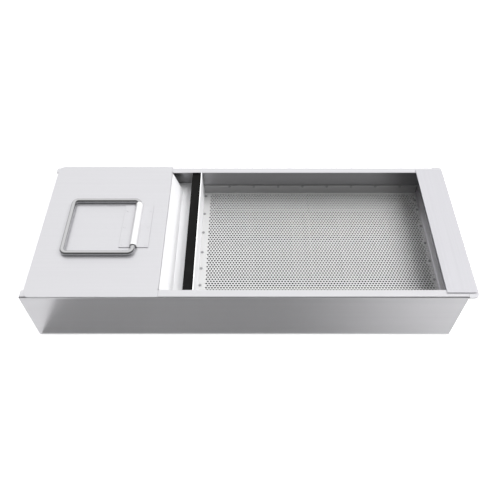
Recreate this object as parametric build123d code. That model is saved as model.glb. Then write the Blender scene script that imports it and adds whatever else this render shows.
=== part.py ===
from build123d import *
import os
from math import hypot, sqrt

# Sluice box with a classifier screen, a loose head lid and a loose tail plate.
# X runs from the head (-) to the tail (+), Y from the front wall (-) to the rear
# wall (+), Z up. The origin is the middle of the footprint, on the resting face.

# ---- driving dimensions, mm ----
LENGTH = 600.0
WIDTH = 248.0
HEIGHT = 100.0
SHEET = 1.5
BEND = 3.0
RIM = 12.0

TAIL_RIM = 14.0
TAIL_LIP = 3.5
TAIL_CORNER = 6.0
RIM_GAP = 0.2

X_HEAD = -(LENGTH + TAIL_RIM) / 2
X_TAIL = X_HEAD + LENGTH
Y_WALL = WIDTH / 2 - SHEET
Y_RIM = WIDTH / 2 - RIM

INLET_WIDTH = 160.0
INLET_BOTTOM = 10.0
INLET_TOP = 46.0
SLOT_WIDTH = 200.0
SLOT_TOP = 38.0

LID_HEAD = -302.3
LID_FOLD = -122.0
LID_FRONT = -124.0
LID_REAR = 124.0
LID_CORNER = 8.0
LID_TOP = HEIGHT + SHEET
APRON_RUN = 13.5
APRON_TOP_HALF = 111.0
APRON_FOOT_HALF = 106.8

LEDGE_TOP = 66.0
LEDGE_HEAD = -135.0

DIVIDER_X = -76.5
DIVIDER = 1.2
DIVIDER_FOOT = 10.0
SEAL_WIDTH = 14.0
SEAL_TOP = 97.0

RAIL = 1.2
RAIL_FOOT = 4.2
RAIL_TOP = 61.5
SCREEN_TOP = 44.0
SCREEN = 0.8
SCREEN_HEAD = DIVIDER_X + DIVIDER + 0.1
SCREEN_TAIL = 277.2
HOLE = 2.8
PITCH = 4.4
HOLES_ALONG = 78
HOLE_ROWS = 62
STRIP_ROWS = 4
HOLES_MID = 105.8
ROW = PITCH * sqrt(3) / 2
RIVET_CLEAR = 3.8

RIVET = 3.0
RIVET_HOLE = 3.2
RIVET_HEAD = 4.2
HEAD_RISE = 1.0
STRAP_RIVET_RISE = 0.2
BLIND_DEPTH = 1.0
HEAD_ROW_X = -72.6
TAIL_ROW_X = 274.0
RAIL_RIVET_Z = 58.9

ROD = 7.0
ROD_GAP = 0.3
BAIL_X = -164.5
BAIL_REACH = 98.9
BAIL_SPAN = 99.6
BAIL_Y = -3.4
BAIL_CORNER = 7.0
PIVOT_FIT = 0.08
STRAP = 1.2
STRAP_FRONT = -41.0
STRAP_REAR = 39.0
STRAP_HALF = 21.0

KERB = 1.7
TAIL_FOOT = 2.0
TAIL_TAB = 7.5
CROSS_BAR_X = 96.0
CROSS_BAR_LOW = 34.0

TAIL_PLATE_HEAD = 264.5
TAIL_PLATE_TAIL = 305.3
TAIL_PLATE_HALF = 117.0

TRAY_HEAD = -290.0
TRAY_TAIL = 289.0
TRAY_HALF = 96.0
TRAY_FIT = 0.05
TRAY_SHEET = 1.0
TRAY_RISE = 14.0
MAT_BASE = 2.0
MAT_RIB = 1.6
MAT_PITCH = 8.0
RIFFLES = 7
RIFFLE_PITCH = 78.0
RIFFLE_HEIGHT = 20.0
RIFFLE_LIP = 14.0

SCREEN_BOTTOM = SCREEN_TOP - SCREEN
FOOT_BOTTOM = SCREEN_BOTTOM - RAIL
FOOT_HALF = Y_WALL - RAIL_FOOT - 0.1
ROD_Z = LID_TOP + ROD / 2 + ROD_GAP


UP_ALIGN = (Align.CENTER, Align.CENTER, Align.MIN)


def slab(x0, x1, y0, y1, z0, z1):
    """A plain block between six planes."""
    middle = Pos((x0 + x1) / 2, (y0 + y1) / 2, (z0 + z1) / 2)
    return middle * Box(x1 - x0, y1 - y0, z1 - z0)


def spread(count, first, last):
    """Evenly spaced positions, both ends included."""
    step = (last - first) / (count - 1)
    return [first + i * step for i in range(count)]


def rivet_up(x, y, low, high, rise=HEAD_RISE):
    """A rivet standing on Z, clamping everything between low and high."""
    shank = Pos(x, y, low) * Cylinder(RIVET / 2, high - low, align=UP_ALIGN)
    head = Pos(x, y, high) * Cylinder(RIVET_HEAD / 2, rise, align=UP_ALIGN)
    head = fillet(head.edges().sort_by(Axis.Z)[-1], rise * 0.6)
    tail = Pos(x, y, low - 0.9) * Cylinder(RIVET_HEAD / 2 - 0.2, 0.9, align=UP_ALIGN)
    return (shank + head + tail).solid()


def holes_up(points, z):
    """Clearance bores for a group of upright rivets."""
    return [Pos(x, y, z) * Cylinder(RIVET_HOLE / 2, 20) for x, y in points]


def holes_across(points, side):
    """Bores through a side rail that stop inside the wall behind it."""
    depth = RAIL + BLIND_DEPTH
    y = side * (Y_WALL - RAIL + depth / 2)
    return [Pos(x, y, z) * Rot(90, 0, 0) * Cylinder(RIVET_HOLE / 2, depth) for x, z in points]


HEAD_ROW = [(HEAD_ROW_X, y) for y in spread(3, -96.5, -35.5) + spread(4, -4.8, 113.4)]
TAIL_ROW = [(TAIL_ROW_X, y) for y in spread(6, -90.5, 83.0) + [103.8]]
RAIL_ROW = [(x, RAIL_RIVET_Z) for x in spread(8, -33.0, 249.0)]
TAIL_TAB_ROW = [(y, 74.0) for y in spread(6, -95.0, 95.0)]
STRAP_ROW = [(BAIL_X + dx, BAIL_Y + dy) for dx in (-17.0, 17.0) for dy in (-32.0, 0.0, 32.0)]


def trough_shell():
    """Floor, both side walls and the rims folded inward along them."""
    outer = RectangleRounded(WIDTH, HEIGHT, BEND)
    inner = RectangleRounded(WIDTH - 2 * SHEET, HEIGHT - 2 * SHEET, BEND - SHEET)
    mouth = Pos(0, HEIGHT / 2) * Rectangle(2 * Y_RIM, 4 * SHEET)
    profile = Pos(0, HEIGHT / 2) * (outer - inner - mouth)
    shell = extrude(Plane.YZ.offset(X_HEAD) * profile, LENGTH)
    for side in (-1, 1):
        shell -= holes_across(RAIL_ROW, side)
    return shell.solid()


def end_plate(x0, x1):
    """A sheet that closes one end of the trough between its bends."""
    outline = Rectangle(2 * Y_WALL, HEIGHT - 2 * SHEET)
    outline = chamfer(outline.vertices(), BEND - SHEET + 0.4)
    plate = extrude(Plane.YZ.offset(x0) * Pos(0, HEIGHT / 2) * outline, x1 - x0)
    return plate


def head_wall():
    """Head end with the water inlet and a stiffening return under the rims."""
    wall = end_plate(X_HEAD, X_HEAD + SHEET)
    wall -= slab(X_HEAD - 1, X_HEAD + 3, -INLET_WIDTH / 2, INLET_WIDTH / 2, INLET_BOTTOM, INLET_TOP)
    top = HEIGHT - SHEET
    wall += slab(X_HEAD, X_HEAD + 14, -Y_WALL + 2, Y_WALL - 2, top - SHEET, top)
    return wall.solid()


def tail_wall():
    """Tail end with the discharge slot and the outward rim."""
    wall = end_plate(X_TAIL - SHEET, X_TAIL)
    half = SLOT_WIDTH / 2
    wall -= slab(X_TAIL - 3, X_TAIL + 1, -half, half, 0, SLOT_TOP)
    neck = Y_RIM - 0.1
    wall += slab(X_TAIL - SHEET, X_TAIL + RIM_GAP, -neck, neck, HEIGHT - 4, HEIGHT)
    wall += tail_rim()
    for y, z in TAIL_TAB_ROW:
        wall -= Pos(X_TAIL, y, z) * Rot(0, 90, 0) * Cylinder(RIVET_HOLE / 2, 12)
    return wall.solid()


def tail_rim():
    """Outward rim with rounded corners and a short skirt turned down."""
    lip = X_TAIL + TAIL_RIM
    outline = Pos(lip - TAIL_RIM, 0) * Rectangle(2 * TAIL_RIM, WIDTH)
    outline = fillet(outline.vertices(), TAIL_CORNER)
    inner = offset(outline, -SHEET)
    flat = extrude(Pos(0, 0, HEIGHT - SHEET) * outline, SHEET)
    skirt = extrude(Pos(0, 0, HEIGHT - TAIL_LIP) * (outline - inner), TAIL_LIP - SHEET)
    return (flat + skirt) & slab(X_TAIL + RIM_GAP, lip + 1, -WIDTH, WIDTH, 0, HEIGHT + 1)


def head_lid():
    """Loose lid with a sloping apron folded down along its inner edge."""
    size_x = LID_FOLD - LID_HEAD
    size_y = LID_REAR - LID_FRONT
    middle = Pos((LID_FOLD + LID_HEAD) / 2, (LID_REAR + LID_FRONT) / 2)
    plate = extrude(Pos(0, 0, HEIGHT) * middle * Rectangle(size_x, size_y), SHEET)
    corners = plate.edges().filter_by(Axis.Z).group_by(Axis.X)[0]
    plate = fillet(corners, LID_CORNER)
    foot = LEDGE_TOP + 0.4
    drop = LID_TOP - foot
    slope = APRON_RUN / drop
    back = SHEET * sqrt(1 + slope * slope)
    profile = Polyline(
        (LID_FOLD - 6, LID_TOP),
        (LID_FOLD, LID_TOP),
        (LID_FOLD + APRON_RUN, foot),
        (LID_FOLD + APRON_RUN - back, foot),
        (LID_FOLD + slope * SHEET - back, HEIGHT),
        (LID_FOLD - 6, HEIGHT),
        close=True,
    )
    apron = extrude(Plane.XZ * make_face(profile), APRON_TOP_HALF + 1, both=True)
    taper = Polyline(
        (-APRON_TOP_HALF, LID_TOP + 1),
        (APRON_TOP_HALF, LID_TOP + 1),
        (APRON_TOP_HALF, HEIGHT),
        (APRON_FOOT_HALF, foot),
        (-APRON_FOOT_HALF, foot),
        (-APRON_TOP_HALF, HEIGHT),
        close=True,
    )
    window = extrude(Plane.YZ.offset(LID_FOLD - 10) * make_face(taper), APRON_RUN + 20)
    lid = plate + (apron & window)
    lid -= holes_up(STRAP_ROW, LID_TOP)
    return lid.solid()


def bail_handle():
    """Square loop of round rod that folds flat on the lid."""
    centre = Pos(BAIL_X - BAIL_REACH / 2, BAIL_Y, ROD_Z)
    loop = (centre * RectangleRounded(BAIL_REACH, BAIL_SPAN, BAIL_CORNER)).wire()
    start = Plane(origin=loop @ 0, z_dir=loop % 0)
    return sweep(start * Circle(ROD / 2), path=loop).solid()


def bail_strap():
    """Saddle strap whose half-round sleeve carries the bail."""
    bore = ROD / 2 + PIVOT_FIT
    shell = bore + SHEET
    rise = ROD_Z - LID_TOP
    length = STRAP_REAR - STRAP_FRONT
    sleeve = Pos(0, rise) * Circle(shell) + Pos(0, rise / 2) * Rectangle(2 * shell, rise)
    wings = Pos(0, STRAP / 2) * Rectangle(2 * STRAP_HALF, STRAP)
    gap = Pos(0, rise) * Circle(bore) + Pos(0, rise / 2) * Rectangle(2 * bore, rise)
    below = Pos(0, -10) * Rectangle(100, 20)
    profile = sleeve + wings - gap - below
    seat = Plane(origin=(BAIL_X, STRAP_REAR, LID_TOP), x_dir=(1, 0, 0), z_dir=(0, -1, 0))
    strap = extrude(seat * profile, length)
    strap -= holes_up(STRAP_ROW, LID_TOP)
    return strap


def strap_rivets():
    """Almost flush rivets that hold the strap to the lid."""
    top = LID_TOP + STRAP
    rivets = [rivet_up(x, y, HEIGHT, top, STRAP_RIVET_RISE) for x, y in STRAP_ROW]
    return Compound(children=rivets)


def spill_ledge():
    """Shelf below the rim, with end tabs and a lip against the divider."""
    ledge = slab(LEDGE_HEAD, DIVIDER_X, -Y_WALL, Y_WALL, LEDGE_TOP - SHEET, LEDGE_TOP)
    ledge += slab(DIVIDER_X - SHEET, DIVIDER_X, -Y_WALL, Y_WALL, LEDGE_TOP - 12, LEDGE_TOP)
    ledge += slab(LEDGE_HEAD, LEDGE_HEAD + SHEET, -Y_WALL, Y_WALL, LEDGE_TOP - 8, LEDGE_TOP)
    for side in (-1, 1):
        inner, outer = sorted((side * (Y_WALL - SHEET), side * Y_WALL))
        ledge += slab(LEDGE_HEAD, DIVIDER_X, inner, outer, LEDGE_TOP - 12, LEDGE_TOP)
    return ledge.solid()


def gap_seal():
    """Rubber bar that closes the step between the ledge and the divider."""
    bar = slab(DIVIDER_X - SEAL_WIDTH, DIVIDER_X, -Y_WALL, Y_WALL, LEDGE_TOP, SEAL_TOP)
    top = bar.edges().filter_by(Axis.Y).group_by(Axis.Z)[-1]
    return fillet(top, 0.8).solid()


def divider_plate():
    """Upright plate at the head of the screen, with a foot under the screen."""
    face = DIVIDER_X + DIVIDER
    plate = slab(DIVIDER_X, face, -Y_WALL, Y_WALL, FOOT_BOTTOM, HEIGHT - BEND - 0.5)
    shoulder = Y_WALL - BEND + SHEET - 0.3
    plate += slab(DIVIDER_X, face, -shoulder, shoulder, HEIGHT - 6, HEIGHT - SHEET)
    neck = Y_RIM - 0.1
    plate += slab(DIVIDER_X, face, -neck, neck, HEIGHT - 6, HEIGHT)
    foot = face + DIVIDER_FOOT
    plate += slab(DIVIDER_X, foot, -FOOT_HALF, FOOT_HALF, FOOT_BOTTOM, SCREEN_BOTTOM)
    plate -= holes_up(HEAD_ROW, SCREEN_BOTTOM)
    return plate.solid()


def screen_holes():
    """Centre and radius of every hole in the deck; the pattern skips the rivets."""
    rivets = HEAD_ROW + TAIL_ROW
    left = HOLES_MID - PITCH * (HOLES_ALONG - 1) / 2
    holes = [(x, y, RIVET_HOLE / 2) for x, y in rivets]
    for j in range(HOLE_ROWS):
        shift = (j % 2) * PITCH / 2
        y = (j - (HOLE_ROWS - 1) / 2) * ROW
        for i in range(HOLES_ALONG - j % 2):
            x = left + shift + i * PITCH
            if all(hypot(x - u, y - v) > RIVET_CLEAR for u, v in rivets):
                holes.append((x, y, HOLE / 2))
    return holes


def screen_strip(y0, y1, holes):
    """One strip of the deck between two straight lines that miss every hole."""
    corners = [(SCREEN_HEAD, y0), (SCREEN_TAIL, y0), (SCREEN_TAIL, y1), (SCREEN_HEAD, y1)]
    outline = Wire.make_polygon([Vector(x, y, SCREEN_BOTTOM) for x, y in corners], close=True)
    mine = [hole for hole in holes if y0 < hole[1] < y1]
    rings = [Wire.make_circle(r, Plane((x, y, SCREEN_BOTTOM))) for x, y, r in mine]
    return Solid.extrude(Face(outline, rings), Vector(0, 0, SCREEN))


def on_seam(face, half):
    """True for a strip's end face that lies inside the deck."""
    if face.geom_type != GeomType.PLANE:
        return False
    return abs(face.normal_at().Y) > 0.9 and abs(face.center().Y) < half - 0.01


def seam_lines(half):
    """Lines between hole rows, a few rows apart, that also miss every rivet."""
    rivets = [y for _, y in HEAD_ROW + TAIL_ROW]
    lines = [-half]
    for j in range(HOLE_ROWS - 1):
        y = (j + 1 - HOLE_ROWS / 2) * ROW
        clear = all(abs(y - rivet) > RIVET_HOLE / 2 + 0.2 for rivet in rivets)
        if clear and y - lines[-1] > (STRIP_ROWS - 0.5) * ROW:
            lines.append(y)
    return lines + [half]


def screen_sheet():
    """Perforated classifier deck, one solid stitched from strips of hole rows."""
    half = Y_WALL - RAIL - 0.1
    holes = screen_holes()
    lines = seam_lines(half)
    faces = []
    for y0, y1 in zip(lines, lines[1:]):
        strip = screen_strip(y0, y1, holes)
        faces += [face for face in strip.faces() if not on_seam(face, half)]
    return Solid(Shell(faces))


def side_rail(side):
    """Angle along a side wall: the foot under the screen, the leg up the wall."""
    def strip(y0, y1, z0, z1):
        low, high = sorted((side * y0, side * y1))
        return slab(SCREEN_HEAD, SCREEN_TAIL, low, high, z0, z1)

    rail = strip(Y_WALL - RAIL, Y_WALL, FOOT_BOTTOM, RAIL_TOP)
    rail += strip(Y_WALL - RAIL_FOOT, Y_WALL, FOOT_BOTTOM, SCREEN_BOTTOM)
    rail -= holes_across(RAIL_ROW, side)
    return rail.solid()


def side_rail_rivets(side):
    """Blind rivets through a side rail; their shanks end inside the wall."""
    group = []
    for x, z in RAIL_ROW:
        inside = Y_WALL - RAIL
        shank = Cylinder(RIVET / 2, RAIL + BLIND_DEPTH - 0.1, align=UP_ALIGN)
        head = Pos(0, 0, -HEAD_RISE) * Cylinder(RIVET_HEAD / 2, HEAD_RISE, align=UP_ALIGN)
        head = fillet(head.edges().sort_by(Axis.Z)[0], HEAD_RISE * 0.6)
        rivet = Plane(origin=(x, side * inside, z), z_dir=(0, side, 0)) * (shank + head)
        group.append(rivet.solid())
    return Compound(children=group)


def tail_rail():
    """Stepped bracket that carries the screen from the tail wall, with a low kerb."""
    kerb = SCREEN_TAIL + 0.1
    face = kerb + KERB
    wall = X_TAIL - SHEET
    half = Y_WALL - 0.1
    rail = slab(face, face + RAIL, -half, half, FOOT_BOTTOM, RAIL_TOP)
    rail += slab(kerb, face + RAIL, -half, half, FOOT_BOTTOM, SCREEN_TOP + 0.8)
    rail += slab(kerb - TAIL_FOOT, face, -FOOT_HALF, FOOT_HALF, FOOT_BOTTOM, SCREEN_BOTTOM)
    for _, y in TAIL_ROW:
        rail += slab(kerb - TAIL_TAB, face, y - 4, y + 4, FOOT_BOTTOM, SCREEN_BOTTOM)
    rail += slab(face, wall, -half, half, RAIL_TOP - RAIL, RAIL_TOP)
    rail += slab(wall - RAIL, wall, -half, half, RAIL_TOP - RAIL, RAIL_TOP + 18)
    rail -= holes_up(TAIL_ROW, SCREEN_BOTTOM)
    for y, z in TAIL_TAB_ROW:
        rail -= Pos(wall, y, z) * Rot(0, 90, 0) * Cylinder(RIVET_HOLE / 2, 12)
    return rail.solid()


def tail_rail_rivets():
    """Rivets through the bracket tab and the tail wall."""
    group = []
    inside = X_TAIL - SHEET - RAIL
    for y, z in TAIL_TAB_ROW:
        shank = Cylinder(RIVET / 2, SHEET + RAIL, align=UP_ALIGN)
        head = Pos(0, 0, -HEAD_RISE) * Cylinder(RIVET_HEAD / 2, HEAD_RISE, align=UP_ALIGN)
        shop = Pos(0, 0, SHEET + RAIL) * Cylinder(RIVET_HEAD / 2 - 0.2, 0.9, align=UP_ALIGN)
        rivet = Plane(origin=(inside, y, z), z_dir=(1, 0, 0)) * (shank + head + shop)
        group.append(rivet.solid())
    return Compound(children=group)


def screen_rivets(points):
    """Rivets through the screen margin and the foot beneath it."""
    return Compound(children=[rivet_up(x, y, FOOT_BOTTOM, SCREEN_TOP) for x, y in points])


def cross_bar():
    """Strip on edge across the trough that stops the screen from sagging."""
    face = CROSS_BAR_X + RAIL
    bar = slab(CROSS_BAR_X, face, -FOOT_HALF, FOOT_HALF, CROSS_BAR_LOW, SCREEN_BOTTOM)
    bar += slab(CROSS_BAR_X, face, -Y_WALL, Y_WALL, CROSS_BAR_LOW, FOOT_BOTTOM - 0.1)
    return bar.solid()


def tail_plate():
    """Loose cover over the discharge end, located by a lip inside the wall."""
    half = TAIL_PLATE_HALF
    plate = slab(TAIL_PLATE_HEAD, TAIL_PLATE_TAIL, -half, half, HEIGHT, LID_TOP)
    corners = plate.edges().filter_by(Axis.Z).group_by(Axis.X)[-1]
    plate = fillet(corners, 3.0)
    lip = X_TAIL - SHEET - 2
    plate += slab(lip - SHEET, lip, -Y_RIM + 1, Y_RIM - 1, HEIGHT - 8, HEIGHT)
    return plate.solid()


TRAY_FLOOR = SHEET + TRAY_FIT
MAT_BOTTOM = TRAY_FLOOR + TRAY_SHEET
MAT_TOP = MAT_BOTTOM + MAT_BASE + MAT_RIB
RAIL_SIDE = TRAY_HALF - TRAY_SHEET


def tray_pan():
    """Shallow pan that slides out through the discharge slot."""
    pan = slab(TRAY_HEAD, TRAY_TAIL, -TRAY_HALF, TRAY_HALF, TRAY_FLOOR, MAT_BOTTOM)
    for side in (-1, 1):
        inner, outer = sorted((side * RAIL_SIDE, side * TRAY_HALF))
        pan += slab(TRAY_HEAD, TRAY_TAIL, inner, outer, TRAY_FLOOR, TRAY_RISE)
    return pan.solid()


def ribbed_mat():
    """Rubber mat with ribs across the flow to hold fine gold."""
    top = MAT_BOTTOM + MAT_BASE
    head = TRAY_HEAD + 3
    tail = TRAY_TAIL - 3
    count = int((tail - head) / MAT_PITCH)
    points = [(head, MAT_BOTTOM), (head, top)]
    for i in range(count):
        x = head + 3 + i * MAT_PITCH
        points += [(x, top), (x + 1, MAT_TOP), (x + 3, MAT_TOP), (x + 4, top)]
    points += [(tail, top), (tail, MAT_BOTTOM)]
    profile = make_face(Polyline(*points, close=True))
    return extrude(Plane.XZ * profile, RAIL_SIDE - 0.3, both=True).solid()


def riffle_rail(side):
    """Side strip that ties the riffle bars together."""
    inner, outer = sorted((side * (RAIL_SIDE - 2.0), side * (RAIL_SIDE - 0.5)))
    top = MAT_TOP + RIFFLE_HEIGHT
    return slab(TRAY_HEAD + 10, TRAY_TAIL - 10, inner, outer, MAT_TOP, top)


def riffle_bar(number):
    """One cross riffle: an upright web with a lip leaning over the mat behind it."""
    x = (number - (RIFFLES + 1) / 2) * RIFFLE_PITCH - 6
    half = RAIL_SIDE - 2.0
    top = MAT_TOP + RIFFLE_HEIGHT
    points = [
        (x, MAT_TOP),
        (x + 1.5, MAT_TOP),
        (x + 1.5, top - 6.2),
        (x + RIFFLE_LIP, top - 1.5),
        (x + RIFFLE_LIP, top),
        (x, top - 5.3),
    ]
    profile = make_face(Polyline(*points, close=True))
    return extrude(Plane.XZ * profile, half, both=True).solid()


def save(node, shape):
    shape.label = node
    export_step(shape, f"parts/{node}.step")


os.makedirs("parts", exist_ok=True)
save("trough_shell", trough_shell())
save("head_wall", head_wall())
save("tail_wall", tail_wall())
save("head_lid", head_lid())
save("bail_handle", bail_handle())
save("bail_strap", bail_strap())
save("strap_rivets", strap_rivets())
save("spill_ledge", spill_ledge())
save("gap_seal", gap_seal())
save("divider_plate", divider_plate())
save("screen_sheet", screen_sheet())
save("rear_rail", side_rail(1))
save("front_rail", side_rail(-1))
save("rear_rail_rivets", side_rail_rivets(1))
save("front_rail_rivets", side_rail_rivets(-1))
save("tail_rail", tail_rail())
save("tail_rail_rivets", tail_rail_rivets())
save("screen_head_rivets", screen_rivets(HEAD_ROW))
save("screen_tail_rivets", screen_rivets(TAIL_ROW))
save("cross_bar", cross_bar())
save("tail_plate", tail_plate())
save("tray_pan", tray_pan())
save("ribbed_mat", ribbed_mat())
save("riffle_rail_rear", riffle_rail(1))
save("riffle_rail_front", riffle_rail(-1))
for number in range(1, RIFFLES + 1):
    save(f"riffle_bar_{number}", riffle_bar(number))
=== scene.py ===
import math

import bmesh
import bpy
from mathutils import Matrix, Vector


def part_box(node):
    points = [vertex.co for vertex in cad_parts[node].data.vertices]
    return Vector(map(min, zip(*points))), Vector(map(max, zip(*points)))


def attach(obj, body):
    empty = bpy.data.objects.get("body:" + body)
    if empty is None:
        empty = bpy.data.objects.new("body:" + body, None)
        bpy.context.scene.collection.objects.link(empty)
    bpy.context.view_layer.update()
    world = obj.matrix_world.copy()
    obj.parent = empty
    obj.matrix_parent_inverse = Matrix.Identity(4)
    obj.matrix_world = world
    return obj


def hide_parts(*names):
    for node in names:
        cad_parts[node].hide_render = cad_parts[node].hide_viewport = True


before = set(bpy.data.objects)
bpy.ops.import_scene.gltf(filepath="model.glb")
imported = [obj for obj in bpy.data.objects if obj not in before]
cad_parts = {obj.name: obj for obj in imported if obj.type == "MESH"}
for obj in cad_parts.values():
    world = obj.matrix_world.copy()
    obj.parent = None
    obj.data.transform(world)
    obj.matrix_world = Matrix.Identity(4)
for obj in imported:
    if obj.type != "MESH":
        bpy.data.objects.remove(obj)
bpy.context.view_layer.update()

# ---- named values, metres ----
RIM_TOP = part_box("trough_shell")[1][2]
WALL_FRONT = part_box("trough_shell")[0][1]

# Painted shade: the trough's colour is darkened on its inner faces, changing to full colour on the
# outer faces and just under the rim's top.
INSIDE_HALF = 0.1232
INSIDE_BLUR = 0.0001
RIM_SHADE_START = RIM_TOP - 0.0009
RIM_SHADE_END = RIM_TOP - 0.0004
INSIDE_PAINTED_SHADE = 0.42
# The lowest roughness on the wall stays at 0.28: around 0.27 it denoises in patches.
WALL_ROUGHNESS = 0.288

CAMERA_PLACE = (0.001, -0.528, 0.7213)
CAMERA_TILT = math.radians(37.92)
CAMERA_LENS = 40.03

STEEL = (0.702, 0.699, 0.723)
# Painted light: a pale copy of the steel for the faces that catch the light from the right: the
# lid's apron, the divider plate and the head wall.
PAINTED_LIGHT_STEEL = (0.90, 0.90, 0.915)

# Noise scales for brushed hair lines and broader rolling bands, by the axis they run along.
HAIR = {"x": (5, 420, 420), "y": (420, 5, 420), "z": (420, 420, 5)}
BAND = {"x": (2, 90, 90), "y": (90, 2, 90), "z": (90, 90, 2)}
HAIR_HEIGHT = 0.00002

LID_FOLD = -0.122
LID_BEND = 0.0022
LID_RELIEF = 0.0006
LID_CORNER = 0.008
APRON_TOP_HALF = 0.111
APRON_FOOT_HALF = 0.1068
BEND_STEPS = 8
APRON_STEPS = 6

LID_SHEET = 0.0015
LID_EDGE = 0.00035
STRAP_SHEET = 0.0012
STRAP_EDGE = 0.0002
STRAP_AXIS = 0.0038
STRAP_ROOT = 0.0014


# ---- node helpers ----
class Graph:
    """A small wrapper that builds a node material step by step."""

    def __init__(self, name):
        self.material = bpy.data.materials.new(name)
        self.material.use_nodes = True
        self.tree = self.material.node_tree
        self.shader = self.tree.nodes["Principled BSDF"]
        self.coords = self.tree.nodes.new("ShaderNodeTexCoord").outputs["Object"]

    def node(self, kind, **settings):
        made = self.tree.nodes.new(kind)
        for key, value in settings.items():
            setattr(made, key, value)
        return made

    def link(self, source, target):
        self.tree.links.new(source, target)

    def stretched(self, scale):
        mapping = self.node("ShaderNodeMapping")
        mapping.inputs["Scale"].default_value = scale
        self.link(self.coords, mapping.inputs["Vector"])
        return mapping.outputs["Vector"]

    def noise(self, scale, detail=3.0, rough=0.5, at=None):
        made = self.node("ShaderNodeTexNoise")
        made.inputs["Scale"].default_value = scale
        made.inputs["Detail"].default_value = detail
        made.inputs["Roughness"].default_value = rough
        self.link(at or self.coords, made.inputs["Vector"])
        return made.outputs["Fac"]

    def ramp(self, value, low, high, out_low, out_high):
        made = self.node("ShaderNodeMapRange", interpolation_type="SMOOTHSTEP")
        made.inputs["From Min"].default_value = low
        made.inputs["From Max"].default_value = high
        made.inputs["To Min"].default_value = out_low
        made.inputs["To Max"].default_value = out_high
        self.link(value, made.inputs["Value"])
        return made.outputs["Result"]

    def straight(self, value, low, high, out_low=0.0):
        """A linear ramp that ends at one."""
        made = self.node("ShaderNodeMapRange")
        made.inputs["From Min"].default_value = low
        made.inputs["From Max"].default_value = high
        made.inputs["To Min"].default_value = out_low
        self.link(value, made.inputs["Value"])
        return made.outputs["Result"]

    def math(self, operation, a, b):
        made = self.node("ShaderNodeMath", operation=operation)
        for socket, value in zip(made.inputs, (a, b)):
            if isinstance(value, (int, float)):
                socket.default_value = value
            else:
                self.link(value, socket)
        return made.outputs["Value"]

    def tint(self, value, dark, light):
        made = self.node("ShaderNodeMix", data_type="RGBA")
        made.inputs["A"].default_value = (*dark, 1)
        made.inputs["B"].default_value = (*light, 1)
        self.link(value, made.inputs["Factor"])
        return made.outputs["Result"]

    def bump(self, height, distance, strength=1.0):
        made = self.node("ShaderNodeBump")
        made.inputs["Distance"].default_value = distance
        made.inputs["Strength"].default_value = strength
        self.link(height, made.inputs["Height"])
        return made.outputs["Normal"]


def sheet_metal(
    name, colour, rough, metallic, along="x", streak=1.0, smudge=1.0, grain=0.3, polished=False
):
    """Stainless sheet: rolling bands, soft clouds and, unless polished, hair lines and smudges."""
    g = Graph(name)
    band = g.noise(1.0, 3.0, 0.6, g.stretched(BAND[along]))
    cloud = g.noise(7.0, 4.0, 0.55)
    if polished:
        lines = g.math("MULTIPLY", band, 0.6)
    else:
        hair = g.noise(1.0, 2.0, 0.6, g.stretched(HAIR[along]))
        lines = g.math("ADD", g.math("MULTIPLY", hair, 0.35), g.math("MULTIPLY", band, 0.25))
    value = g.math("ADD", lines, g.math("MULTIPLY", cloud, 0.40))
    dark = tuple(c * (1 - 0.040 * streak) for c in colour)
    light = tuple(min(1, c * (1 + 0.035 * streak)) for c in colour)
    g.link(g.tint(g.ramp(value, 0.3, 0.7, 0, 1), dark, light), g.shader.inputs["Base Color"])

    vary = 0.008 if polished else 0.04
    base = g.ramp(cloud if polished else value, 0.3, 0.7, rough - vary, rough + vary)
    stain = g.ramp(cloud, 0.45, 0.75, 0.0, 0.06 * smudge)
    total = g.math("ADD", base, stain)
    if not polished:
        marks = g.noise(55.0, 5.0, 0.7)
        total = g.math("ADD", total, g.ramp(marks, 0.62, 0.8, 0.0, 0.05 * smudge))
        g.link(g.bump(hair, HAIR_HEIGHT, grain), g.shader.inputs["Normal"])
    g.link(total, g.shader.inputs["Roughness"])
    g.shader.inputs["Metallic"].default_value = metallic
    return g


def trough_metal():
    """The trough: satin outside and on the rims, its inner faces darkened in colour as painted
    shade.
    """
    g = sheet_metal(
        "steel_wall",
        (0.77, 0.765, 0.79),
        WALL_ROUGHNESS,
        0.9,
        "x",
        streak=0.6,
        smudge=0.2,
        polished=True,
    )
    base_colour = g.shader.inputs["Base Color"]
    axis = g.node("ShaderNodeSeparateXYZ")
    g.link(g.coords, axis.inputs["Vector"])
    side = g.node("ShaderNodeMath", operation="ABSOLUTE")
    g.link(axis.outputs["Y"], side.inputs[0])
    beyond = g.straight(side.outputs["Value"], INSIDE_HALF - INSIDE_BLUR, INSIDE_HALF + INSIDE_BLUR)
    on_rim = g.straight(axis.outputs["Z"], RIM_SHADE_START, RIM_SHADE_END)
    shade = g.straight(g.math("MAXIMUM", beyond, on_rim), 0, 1, INSIDE_PAINTED_SHADE)
    # Painted shade: the base colour is multiplied down on the trough's inner faces, standing in for
    # the shade inside.
    inner_painted_shade = g.node("ShaderNodeMix", data_type="RGBA", blend_type="MULTIPLY")
    inner_painted_shade.inputs["Factor"].default_value = 1.0
    g.link(base_colour.links[0].from_socket, inner_painted_shade.inputs["A"])
    g.link(shade, inner_painted_shade.inputs["B"])
    g.link(inner_painted_shade.outputs["Result"], base_colour)
    return g.material


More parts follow.
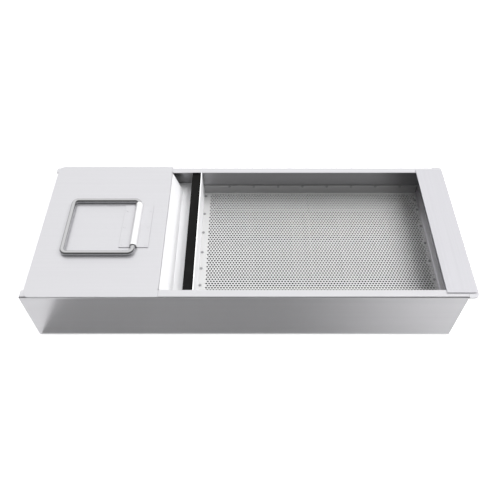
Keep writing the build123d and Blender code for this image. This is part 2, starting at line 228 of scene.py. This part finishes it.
def rubber(name, colour, grain=2500.0):
    """Matt black rubber with a fine moulded grain and dusty bloom."""
    g = Graph(name)
    bloom = g.noise(60.0, 4.0, 0.6)
    fine = g.noise(grain, 2.0, 0.6)
    light = tuple(c * 1.6 + 0.001 for c in colour)
    g.link(g.tint(g.ramp(bloom, 0.4, 0.75, 0, 1), colour, light), g.shader.inputs["Base Color"])
    g.link(g.ramp(bloom, 0.3, 0.7, 0.72, 0.9), g.shader.inputs["Roughness"])
    g.shader.inputs["Specular IOR Level"].default_value = 0.12
    g.link(g.bump(fine, 0.00008, 0.6), g.shader.inputs["Normal"])
    return g.material


def arc(cx, cy, radius, start, end, steps=10):
    """Points along an arc, angles in degrees."""
    turns = [math.radians(start + (end - start) * i / steps) for i in range(steps + 1)]
    return [(cx + radius * math.cos(a), cy + radius * math.sin(a)) for a in turns]


def add_object(name, mesh, body, slot, *materials):
    """Puts a finished mesh in the scene as a piece that rides on a CAD body."""
    obj = bpy.data.objects.new(name, mesh)
    bpy.context.collection.objects.link(obj)
    for material in materials:
        mesh.materials.append(material)
    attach(obj, body)
    return obj


def thicken(obj, thickness, bevel):
    """Turns a surface into sheet metal with broken edges, thickness downward."""
    solid = obj.modifiers.new("thickness", "SOLIDIFY")
    solid.thickness = thickness
    solid.offset = -1
    solid.use_even_offset = True
    edge = obj.modifiers.new("edges", "BEVEL")
    edge.width = bevel
    edge.segments = 3
    edge.limit_method = "ANGLE"
    edge.angle_limit = math.radians(40)
    edge.harden_normals = True
    for face in obj.data.polygons:
        face.use_smooth = True


def lid_mesh():
    """The lid's top surface: a flat plate, a bend and a tapered apron."""
    low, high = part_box("head_lid")
    start = LID_FOLD - LID_BEND * 0.7
    half = APRON_TOP_HALF
    slit = half + LID_RELIEF
    outline = [(start, -half), (start, -slit), (LID_FOLD, -slit), (LID_FOLD, low[1])]
    outline += arc(low[0] + LID_CORNER, low[1] + LID_CORNER, LID_CORNER, 270, 180)
    outline += arc(low[0] + LID_CORNER, high[1] - LID_CORNER, LID_CORNER, 180, 90)
    outline += [(LID_FOLD, high[1]), (LID_FOLD, slit), (start, slit), (start, half)]
    outline.reverse()
    bm = bmesh.new()
    ring = [bm.verts.new((x, y, high[2])) for x, y in outline]
    bm.faces.new(ring)
    last = [ring[0], ring[-1]]
    slope = math.atan2(high[2] - low[2], high[0] - LID_FOLD)
    stations = []
    for i in range(1, BEND_STEPS + 1):
        a = slope * i / BEND_STEPS
        stations.append((start + LID_BEND * math.sin(a), high[2] - LID_BEND * (1 - math.cos(a))))
    x0, z0 = stations[-1]
    end_x = x0 + (z0 - low[2]) / math.tan(slope)
    for i in range(1, APRON_STEPS + 1):
        share = i / APRON_STEPS
        stations.append((x0 + (end_x - x0) * share, z0 + (low[2] - z0) * share))
    for x, z in stations:
        share = (high[2] - z) / (high[2] - low[2])
        wide = half + (APRON_FOOT_HALF - half) * share
        pair = [bm.verts.new((x, wide, z)), bm.verts.new((x, -wide, z))]
        face = bm.faces.new((last[0], last[1], pair[1], pair[0]))
        # The apron faces take the second material, the pale steel painted as lit.
        face.material_index = 1 if high[2] - z > LID_BEND else 0
        last = pair
    bm.normal_update()
    bmesh.ops.recalc_face_normals(bm, faces=bm.faces)
    if sum(f.normal.z for f in bm.faces) < 0:
        bmesh.ops.reverse_faces(bm, faces=bm.faces)
    mesh = bpy.data.meshes.new("lid_sheet")
    bm.to_mesh(mesh)
    bm.free()
    return mesh


def strap_mesh():
    """Flat wings that roll up into a half-round sleeve over the bail."""
    low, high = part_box("bail_strap")
    middle = (low[0] + high[0]) / 2
    half = (high[0] - low[0]) / 2
    wing = low[2] + STRAP_SHEET
    axis = low[2] + STRAP_AXIS
    outer = high[2] - axis
    left = [(-half, wing)]
    left += arc(-outer - STRAP_ROOT, wing + STRAP_ROOT, STRAP_ROOT, -90, 0, 6)
    crown = arc(0, axis, outer, 180, 0, 20)
    right = [(-x, z) for x, z in reversed(left)]
    profile = left + crown + right
    bm = bmesh.new()
    rows = [[bm.verts.new((middle + x, y, z)) for x, z in profile] for y in (low[1], high[1])]
    sleeve = range(len(left) - 3, len(left) + len(crown) + 2)
    for i in range(len(profile) - 1):
        face = bm.faces.new((rows[0][i], rows[0][i + 1], rows[1][i + 1], rows[1][i]))
        # The sleeve faces take the second material, the paler steel painted as highlit.
        face.material_index = 1 if i in sleeve else 0
    mesh = bpy.data.meshes.new("strap_sheet")
    bm.to_mesh(mesh)
    bm.free()
    return mesh


def wear(node, material):
    """Gives a kept CAD node its finish."""
    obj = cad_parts[node]
    obj.data.materials.clear()
    obj.data.materials.append(material)


satin_x = sheet_metal("steel_along", STEEL, 0.34, 0.8, "x", 0.55).material
satin_y = sheet_metal("steel_across", STEEL, 0.34, 0.8, "y").material
wall_steel = trough_metal()
# Painted light: a pale, barely metallic copy of the steel, standing in for the light falling on the
# head wall, the divider plate and the lid's apron.
painted_light_y = sheet_metal("steel_painted_light", PAINTED_LIGHT_STEEL, 0.50, 0.12, "y", 0.7).material
# Painted light: a pale, less metallic copy of the steel for the spill ledge, lighter to stand in
# for the light falling on it.
ledge_painted_light = sheet_metal("steel_ledge_painted_light", (0.88, 0.88, 0.895), 0.45, 0.25, "y", 0.7).material
# Painted shade: a slightly darker copy of the steel for the tail plate, toning down the light
# falling on it.
plate_painted_shade = sheet_metal("steel_plate_painted_shade", (0.656, 0.652, 0.683), 0.34, 0.8, "y").material
# Painted shade: a darker copy of the steel for the front and rear rails.
rail_painted_shade = sheet_metal("steel_rail_painted_shade", (0.46, 0.46, 0.465), 0.36, 0.8, "x").material
# Painted highlight: a paler, less metallic copy of the steel for the strap's rounded sleeve.
sleeve_painted_highlight = sheet_metal("steel_sleeve_painted_highlight", (0.80, 0.80, 0.81), 0.40, 0.35, "y", 0.7).material
screen_steel = sheet_metal("steel_screen", (0.58, 0.58, 0.58), 0.45, 0.4, "x", 0.6).material
rod_steel = sheet_metal(
    "steel_rod", (0.65, 0.65, 0.66), 0.09, 1.0, "y", streak=0.5, smudge=0.4, grain=0.1
).material
# Painted shade: the rivet heads are a dark copy of the steel, standing in for the shading on the
# small heads.
rivet_painted_shade = sheet_metal("rivet_painted_shade", (0.34, 0.34, 0.35), 0.42, 0.8, "z", 0.7).material
tray_steel = sheet_metal("steel_blackened", (0.07, 0.07, 0.073), 0.5, 0.7, "y", 1.5).material
seal_rubber = rubber("seal_rubber", (0.006, 0.006, 0.006))
mat_rubber = rubber("mat_rubber", (0.012, 0.013, 0.012))

# Several finishes below carry painted light or shade: the pale steel on the head wall, divider and
# apron, the pale ledge, the darker tail plate, rails and rivets, and the pale sleeve.
FINISH = {
    "trough_shell": wall_steel,
    "head_wall": painted_light_y,
    "tail_wall": satin_y,
    "tail_plate": plate_painted_shade,
    "bail_handle": rod_steel,
    "spill_ledge": ledge_painted_light,
    "gap_seal": seal_rubber,
    "divider_plate": painted_light_y,
    "screen_sheet": screen_steel,
    "rear_rail": rail_painted_shade,
    "front_rail": rail_painted_shade,
    "cross_bar": tray_steel,
    "tray_pan": tray_steel,
    "ribbed_mat": mat_rubber,
    "strap_rivets": satin_x,
}
lid = add_object("lid_sheet", lid_mesh(), "lid", "steel", satin_x, painted_light_y)
thicken(lid, LID_SHEET, LID_EDGE)
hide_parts("head_lid")
strap = add_object("strap_sheet", strap_mesh(), "lid", "steel", satin_x, sleeve_painted_highlight)
thicken(strap, STRAP_SHEET, STRAP_EDGE)
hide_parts("bail_strap")

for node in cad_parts:
    if node in FINISH:
        wear(node, FINISH[node])
    elif "rivets" in node:
        wear(node, rivet_painted_shade)
    elif "riffle" in node:
        wear(node, tray_steel)
    else:
        wear(node, satin_y)


# ---- studio ----
DOME = (0.09, 0.95)
DOME_TURN = (0.15, 0.85)
DOME_AIM = (0, 0.62, 0.78)
FRONT_GLOW = (0.20, 0.80)
FRONT_GLOW_RUN = (0.02, 0.42)
FAR_GLOW = 0.78
FLOOR_GLOW = 0.45
CARD_BACK = WALL_FRONT - 0.002
FAR_CARD = ((-3, -3), (3, -3), (3, 3), (-3, 3))
FRONT_CARD = ((-0.25, -0.60), (0.62, -0.60), (0.62, CARD_BACK), (-0.3055, CARD_BACK))
FILLS = (
    ("key_right", (1.30, 0.26, 2.25), (1.6, 1.6), 88),
    ("fill_above", (0, -0.3, 2.4), (2.5, 2.5), 12),
    ("fill_front", (0, -2.4, 1.5), (2.5, 1.5), 14),
)


def world_dome():
    """Bright overhead and behind, dim on the near side, plain white as a backdrop."""
    world = bpy.data.worlds.new("studio")
    bpy.context.scene.world = world
    world.use_nodes = True
    tree = world.node_tree
    coords = tree.nodes.new("ShaderNodeTexCoord")
    dot = tree.nodes.new("ShaderNodeVectorMath")
    dot.operation = "DOT_PRODUCT"
    dot.inputs[1].default_value = Vector(DOME_AIM).normalized()
    tree.links.new(coords.outputs["Generated"], dot.inputs[0])
    spread = tree.nodes.new("ShaderNodeMapRange")
    spread.interpolation_type = "SMOOTHSTEP"
    spread.inputs["From Min"].default_value = DOME_TURN[0]
    spread.inputs["From Max"].default_value = DOME_TURN[1]
    spread.inputs["To Min"].default_value = DOME[0]
    spread.inputs["To Max"].default_value = DOME[1]
    tree.links.new(dot.outputs["Value"], spread.inputs["Value"])
    path = tree.nodes.new("ShaderNodeLightPath")
    seen = tree.nodes.new("ShaderNodeMix")
    seen.inputs["B"].default_value = 1.0
    tree.links.new(path.outputs["Is Camera Ray"], seen.inputs["Factor"])
    tree.links.new(spread.outputs["Result"], seen.inputs["A"])
    background = tree.nodes["Background"]
    background.inputs["Color"].default_value = (1, 1, 1, 1)
    tree.links.new(seen.outputs["Result"], background.inputs["Strength"])


def pale_floor():
    """The floor the camera sees. Reflections see the cards below instead."""
    bpy.ops.mesh.primitive_plane_add(size=12, location=(0, 0, 0))
    floor = bpy.context.object
    floor.name = "studio_floor"
    g = Graph("floor_paint")
    tone = g.noise(2.0, 2.0, 0.5)
    g.link(g.tint(tone, (0.91, 0.91, 0.91), (0.94, 0.94, 0.94)), g.shader.inputs["Base Color"])
    g.shader.inputs["Roughness"].default_value = 0.9
    g.shader.inputs["Specular IOR Level"].default_value = 0.1
    g.shader.inputs["Emission Color"].default_value = (1, 1, 1, 1)
    g.shader.inputs["Emission Strength"].default_value = FLOOR_GLOW
    floor.data.materials.append(g.material)
    floor.visible_glossy = False


def reflection_card(name, corners, z, glow):
    """A glowing card on the floor that only reflections see. glow(graph, x) is its strength."""
    mesh = bpy.data.meshes.new(name)
    mesh.from_pydata([(x, y, z) for x, y in corners], [], [(0, 1, 2, 3)])
    card = bpy.data.objects.new(name, mesh)
    bpy.context.collection.objects.link(card)
    g = Graph(name + "_paint")
    axis = g.node("ShaderNodeSeparateXYZ")
    g.link(g.coords, axis.inputs["Vector"])
    g.shader.inputs["Base Color"].default_value = (0, 0, 0, 1)
    g.shader.inputs["Specular IOR Level"].default_value = 0
    g.shader.inputs["Emission Color"].default_value = (1, 1, 1, 1)
    strength = glow(g, axis.outputs["X"])
    if isinstance(strength, float):
        g.shader.inputs["Emission Strength"].default_value = strength
    else:
        g.link(strength, g.shader.inputs["Emission Strength"])
    mesh.materials.append(g.material)
    for ray in ("camera", "diffuse", "shadow", "transmission", "volume_scatter"):
        setattr(card, "visible_" + ray, False)


def front_glow(g, x):
    """Dim towards the head, brighter towards the tail."""
    return g.ramp(x, *FRONT_GLOW_RUN, *FRONT_GLOW)


def soft_light(name, place, aim, size, power):
    data = bpy.data.lights.new(name, "AREA")
    data.shape = "RECTANGLE"
    data.size, data.size_y = size
    data.energy = power
    light = bpy.data.objects.new(name, data)
    bpy.context.collection.objects.link(light)
    light.location = place
    light.rotation_euler = (Vector(aim) - Vector(place)).to_track_quat("-Z", "Y").to_euler()
    return light


world_dome()
pale_floor()
reflection_card("far_card", FAR_CARD, 0.0003, lambda g, x: FAR_GLOW)
reflection_card("front_card", FRONT_CARD, 0.0008, front_glow)
for name, place, size, power in FILLS:
    fill = soft_light(name, place, (0, 0, 0), size, power)
    fill.visible_glossy = False

camera_data = bpy.data.cameras.new("camera")
camera_data.lens = CAMERA_LENS
camera_data.sensor_width = 36
camera = bpy.data.objects.new("camera", camera_data)
bpy.context.collection.objects.link(camera)
camera.location = CAMERA_PLACE
camera.rotation_euler = (CAMERA_TILT, 0, 0)
bpy.context.scene.camera = camera
bpy.context.scene.view_settings.view_transform = "Standard"
